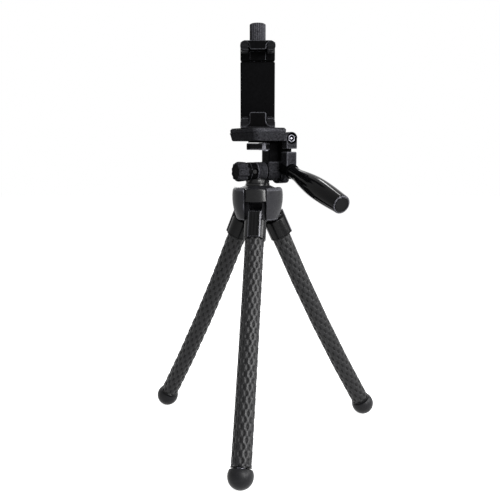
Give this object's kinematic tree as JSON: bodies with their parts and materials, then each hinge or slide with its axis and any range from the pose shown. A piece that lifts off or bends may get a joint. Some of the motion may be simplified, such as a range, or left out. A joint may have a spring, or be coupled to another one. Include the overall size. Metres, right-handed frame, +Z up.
{
  "type": "flexible leg tripod",
  "caption": "Tabletop tripod with bendable rubber-sleeved legs on ball feet, a pan, tilt and flip head with a twist handle, and a screw-down phone clamp.",
  "frame": {"origin": "on the floor under the pan axis, in the plane that the feet stand on", "axes": "+Z up along the pan axis, -Y the way the phone clamp faces, +X to the right seen from the front"},
  "size_m": [0.2494, 0.233, 0.4197],
  "materials": {
    "leg_rubber": "matt black rubber with a raised diamond lattice",
    "core_aluminium": "drawn soft wire",
    "foot_rubber": "smooth satin rubber",
    "socket_plastic": "satin black",
    "hub_plastic": "moulded black",
    "petal_plastic": "fine-grained charcoal",
    "gloss_black": "polished black",
    "steel": "plated",
    "dark_steel": "blackened",
    "nut_brass": "machined",
    "grip_gloss": "glossy black",
    "pad_rubber": "ribbed soft rubber",
    "clamp_plastic": "matt black",
    "knob_plastic": "ribbed charcoal",
    "head_plastic": "spark-eroded black"
  },
  "bodies": {
    "hub": {"hub_core": "hub_plastic", "hub_petals": "petal_plastic", "crown_ring": "gloss_black", "hub_base_cap": "hub_plastic", "pan_bolt": "steel", "leg_pins": "steel"},
    "front_leg_top": {"front_leg_socket": "socket_plastic", "front_leg_sleeve_a": "leg_rubber", "front_leg_core_a": "core_aluminium"},
    "front_leg_upper": {"front_leg_sleeve_b": "leg_rubber", "front_leg_core_b": "core_aluminium"},
    "front_leg_middle": {"front_leg_sleeve_c": "leg_rubber", "front_leg_core_c": "core_aluminium"},
    "front_leg_lower": {"front_leg_sleeve_d": "leg_rubber", "front_leg_core_d": "core_aluminium", "front_leg_foot": "foot_rubber"},
    "right_leg_top": {"right_leg_socket": "socket_plastic", "right_leg_sleeve_a": "leg_rubber", "right_leg_core_a": "core_aluminium"},
    "right_leg_upper": {"right_leg_sleeve_b": "leg_rubber", "right_leg_core_b": "core_aluminium"},
    "right_leg_middle": {"right_leg_sleeve_c": "leg_rubber", "right_leg_core_c": "core_aluminium"},
    "right_leg_lower": {"right_leg_sleeve_d": "leg_rubber", "right_leg_core_d": "core_aluminium", "right_leg_foot": "foot_rubber"},
    "left_leg_top": {"left_leg_socket": "socket_plastic", "left_leg_sleeve_a": "leg_rubber", "left_leg_core_a": "core_aluminium"},
    "left_leg_upper": {"left_leg_sleeve_b": "leg_rubber", "left_leg_core_b": "core_aluminium"},
    "left_leg_middle": {"left_leg_sleeve_c": "leg_rubber", "left_leg_core_c": "core_aluminium"},
    "left_leg_lower": {"left_leg_sleeve_d": "leg_rubber", "left_leg_core_d": "core_aluminium", "left_leg_foot": "foot_rubber"},
    "pan": {"pan_base": "head_plastic", "pan_clamp_screw": "dark_steel", "tilt_axle": "steel", "tilt_nut": "steel"},
    "pan_lock": {"pan_lock_knob": "head_plastic"},
    "tilt": {"tilt_yoke": "head_plastic"},
    "handle": {"handle_shaft": "steel", "handle_grip": "grip_gloss", "handle_cap": "grip_gloss"},
    "platform": {"platform": "head_plastic", "flip_bolt": "steel", "flip_nut": "steel", "lever_pin": "steel"},
    "release_lever": {"quick_release_lever": "head_plastic"},
    "plate": {"quick_release_plate": "head_plastic", "plate_pad": "pad_rubber", "camera_screw": "steel"},
    "clamp": {"clamp_body": "clamp_plastic", "clamp_nut": "nut_brass", "lower_jaw_pads": "pad_rubber"},
    "jaw": {"upper_jaw": "clamp_plastic", "upper_jaw_pads": "pad_rubber"},
    "knob": {"clamp_knob": "knob_plastic", "jaw_screw": "steel"}
  },
  "joints": [
    {"name": "front_leg_splay", "type": "hinge", "parent": "hub", "child": "front_leg_top", "pos_m": [-0.00183, -0.01489, 0.23281], "axis": [-0.9925, 0.1219, 0], "range_deg": [-22, 0]},
    {"name": "front_leg_upper_bend", "type": "hinge", "parent": "front_leg_top", "child": "front_leg_upper", "pos_m": [-0.00602, -0.04903, 0.16102], "axis": [0.9925, -0.1219, 0], "range_deg": [-28, 28]},
    {"name": "front_leg_middle_bend", "type": "hinge", "parent": "front_leg_upper", "child": "front_leg_middle", "pos_m": [-0.00905, -0.07371, 0.11241], "axis": [-0.1078, -0.8776, 0.4672], "range_deg": [-28, 28]},
    {"name": "front_leg_lower_bend", "type": "hinge", "parent": "front_leg_middle", "child": "front_leg_lower", "pos_m": [-0.01224, -0.09965, 0.06448], "axis": [0.9925, -0.1219, 0], "range_deg": [-28, 28]},
    {"name": "right_leg_splay", "type": "hinge", "parent": "hub", "child": "right_leg_top", "pos_m": [0.01381, 0.00586, 0.23281], "axis": [0.3907, -0.9205, 0], "range_deg": [-22, 0]},
    {"name": "right_leg_upper_bend", "type": "hinge", "parent": "right_leg_top", "child": "right_leg_upper", "pos_m": [0.04547, 0.0193, 0.16102], "axis": [-0.3907, 0.9205, 0], "range_deg": [-28, 28]},
    {"name": "right_leg_middle_bend", "type": "hinge", "parent": "right_leg_upper", "child": "right_leg_middle", "pos_m": [0.06836, 0.02902, 0.11241], "axis": [0.8139, 0.3455, 0.4672], "range_deg": [-28, 28]},
    {"name": "right_leg_lower_bend", "type": "hinge", "parent": "right_leg_middle", "child": "right_leg_lower", "pos_m": [0.09242, 0.03923, 0.06448], "axis": [-0.3907, 0.9205, 0], "range_deg": [-28, 28]},
    {"name": "left_leg_splay", "type": "hinge", "parent": "hub", "child": "left_leg_top", "pos_m": [-0.01198, 0.00903, 0.23281], "axis": [0.6018, 0.7986, 0], "range_deg": [-22, 0]},
    {"name": "left_leg_upper_bend", "type": "hinge", "parent": "left_leg_top", "child": "left_leg_upper", "pos_m": [-0.03945, 0.02973, 0.16102], "axis": [-0.6018, -0.7986, 0], "range_deg": [-28, 28]},
    {"name": "left_leg_middle_bend", "type": "hinge", "parent": "left_leg_upper", "child": "left_leg_middle", "pos_m": [-0.05931, 0.04469, 0.11241], "axis": [-0.7061, 0.5321, 0.4672], "range_deg": [-28, 28]},
    {"name": "left_leg_lower_bend", "type": "hinge", "parent": "left_leg_middle", "child": "left_leg_lower", "pos_m": [-0.08019, 0.06042, 0.06448], "axis": [-0.6018, -0.7986, 0], "range_deg": [-28, 28]},
    {"name": "pan", "type": "hinge", "parent": "hub", "child": "pan", "pos_m": [0, 0, 0.26131], "axis": [0, 0, 1], "continuous": true},
    {"name": "pan_lock_turn", "type": "hinge", "parent": "pan", "child": "pan_lock", "pos_m": [-0.01766, -0.00939, 0.27541], "axis": [-0.8829, -0.4695, 0], "range_deg": [0, 180]},
    {"name": "tilt", "type": "hinge", "parent": "pan", "child": "tilt", "pos_m": [0.02252, 0.01197, 0.27541], "axis": [0.8829, 0.4695, 0], "range_deg": [-75, 30]},
    {"name": "handle_twist", "type": "hinge", "parent": "tilt", "child": "handle", "pos_m": [0.03425, -0.0101, 0.27541], "axis": [0.4472, -0.8412, -0.304], "range_deg": [0, 180]},
    {"name": "flip", "type": "hinge", "parent": "tilt", "child": "platform", "pos_m": [0.02252, 0.01197, 0.3084], "axis": [-0.4695, 0.8829, 0], "range_deg": [0, 90]},
    {"name": "release_lever_swing", "type": "hinge", "parent": "platform", "child": "release_lever", "pos_m": [0.00787, -0.01054, 0.3058], "axis": [0, 0, 1], "range_deg": [0, 60]},
    {"name": "plate_lift", "type": "slide", "parent": "platform", "child": "plate", "axis": [0, 0, 1], "range_m": [0, 0.012]},
    {"name": "clamp_swivel", "type": "hinge", "parent": "plate", "child": "clamp", "pos_m": [0, 0, 0.31866], "axis": [0, 0, 1], "continuous": true},
    {"name": "jaw_slide", "type": "slide", "parent": "clamp", "child": "jaw", "axis": [0, 0, 1], "range_m": [0, 0.024]},
    {"name": "knob_turn", "type": "hinge", "parent": "jaw", "child": "knob", "pos_m": [0, 0.007, 0.40065], "axis": [0, 0, 1], "range_deg": [0, 2161]}
  ],
  "couplings": [
    {"joint": "knob_turn", "follows": "jaw_slide", "rad_per_m": 1570.8}
  ]
}
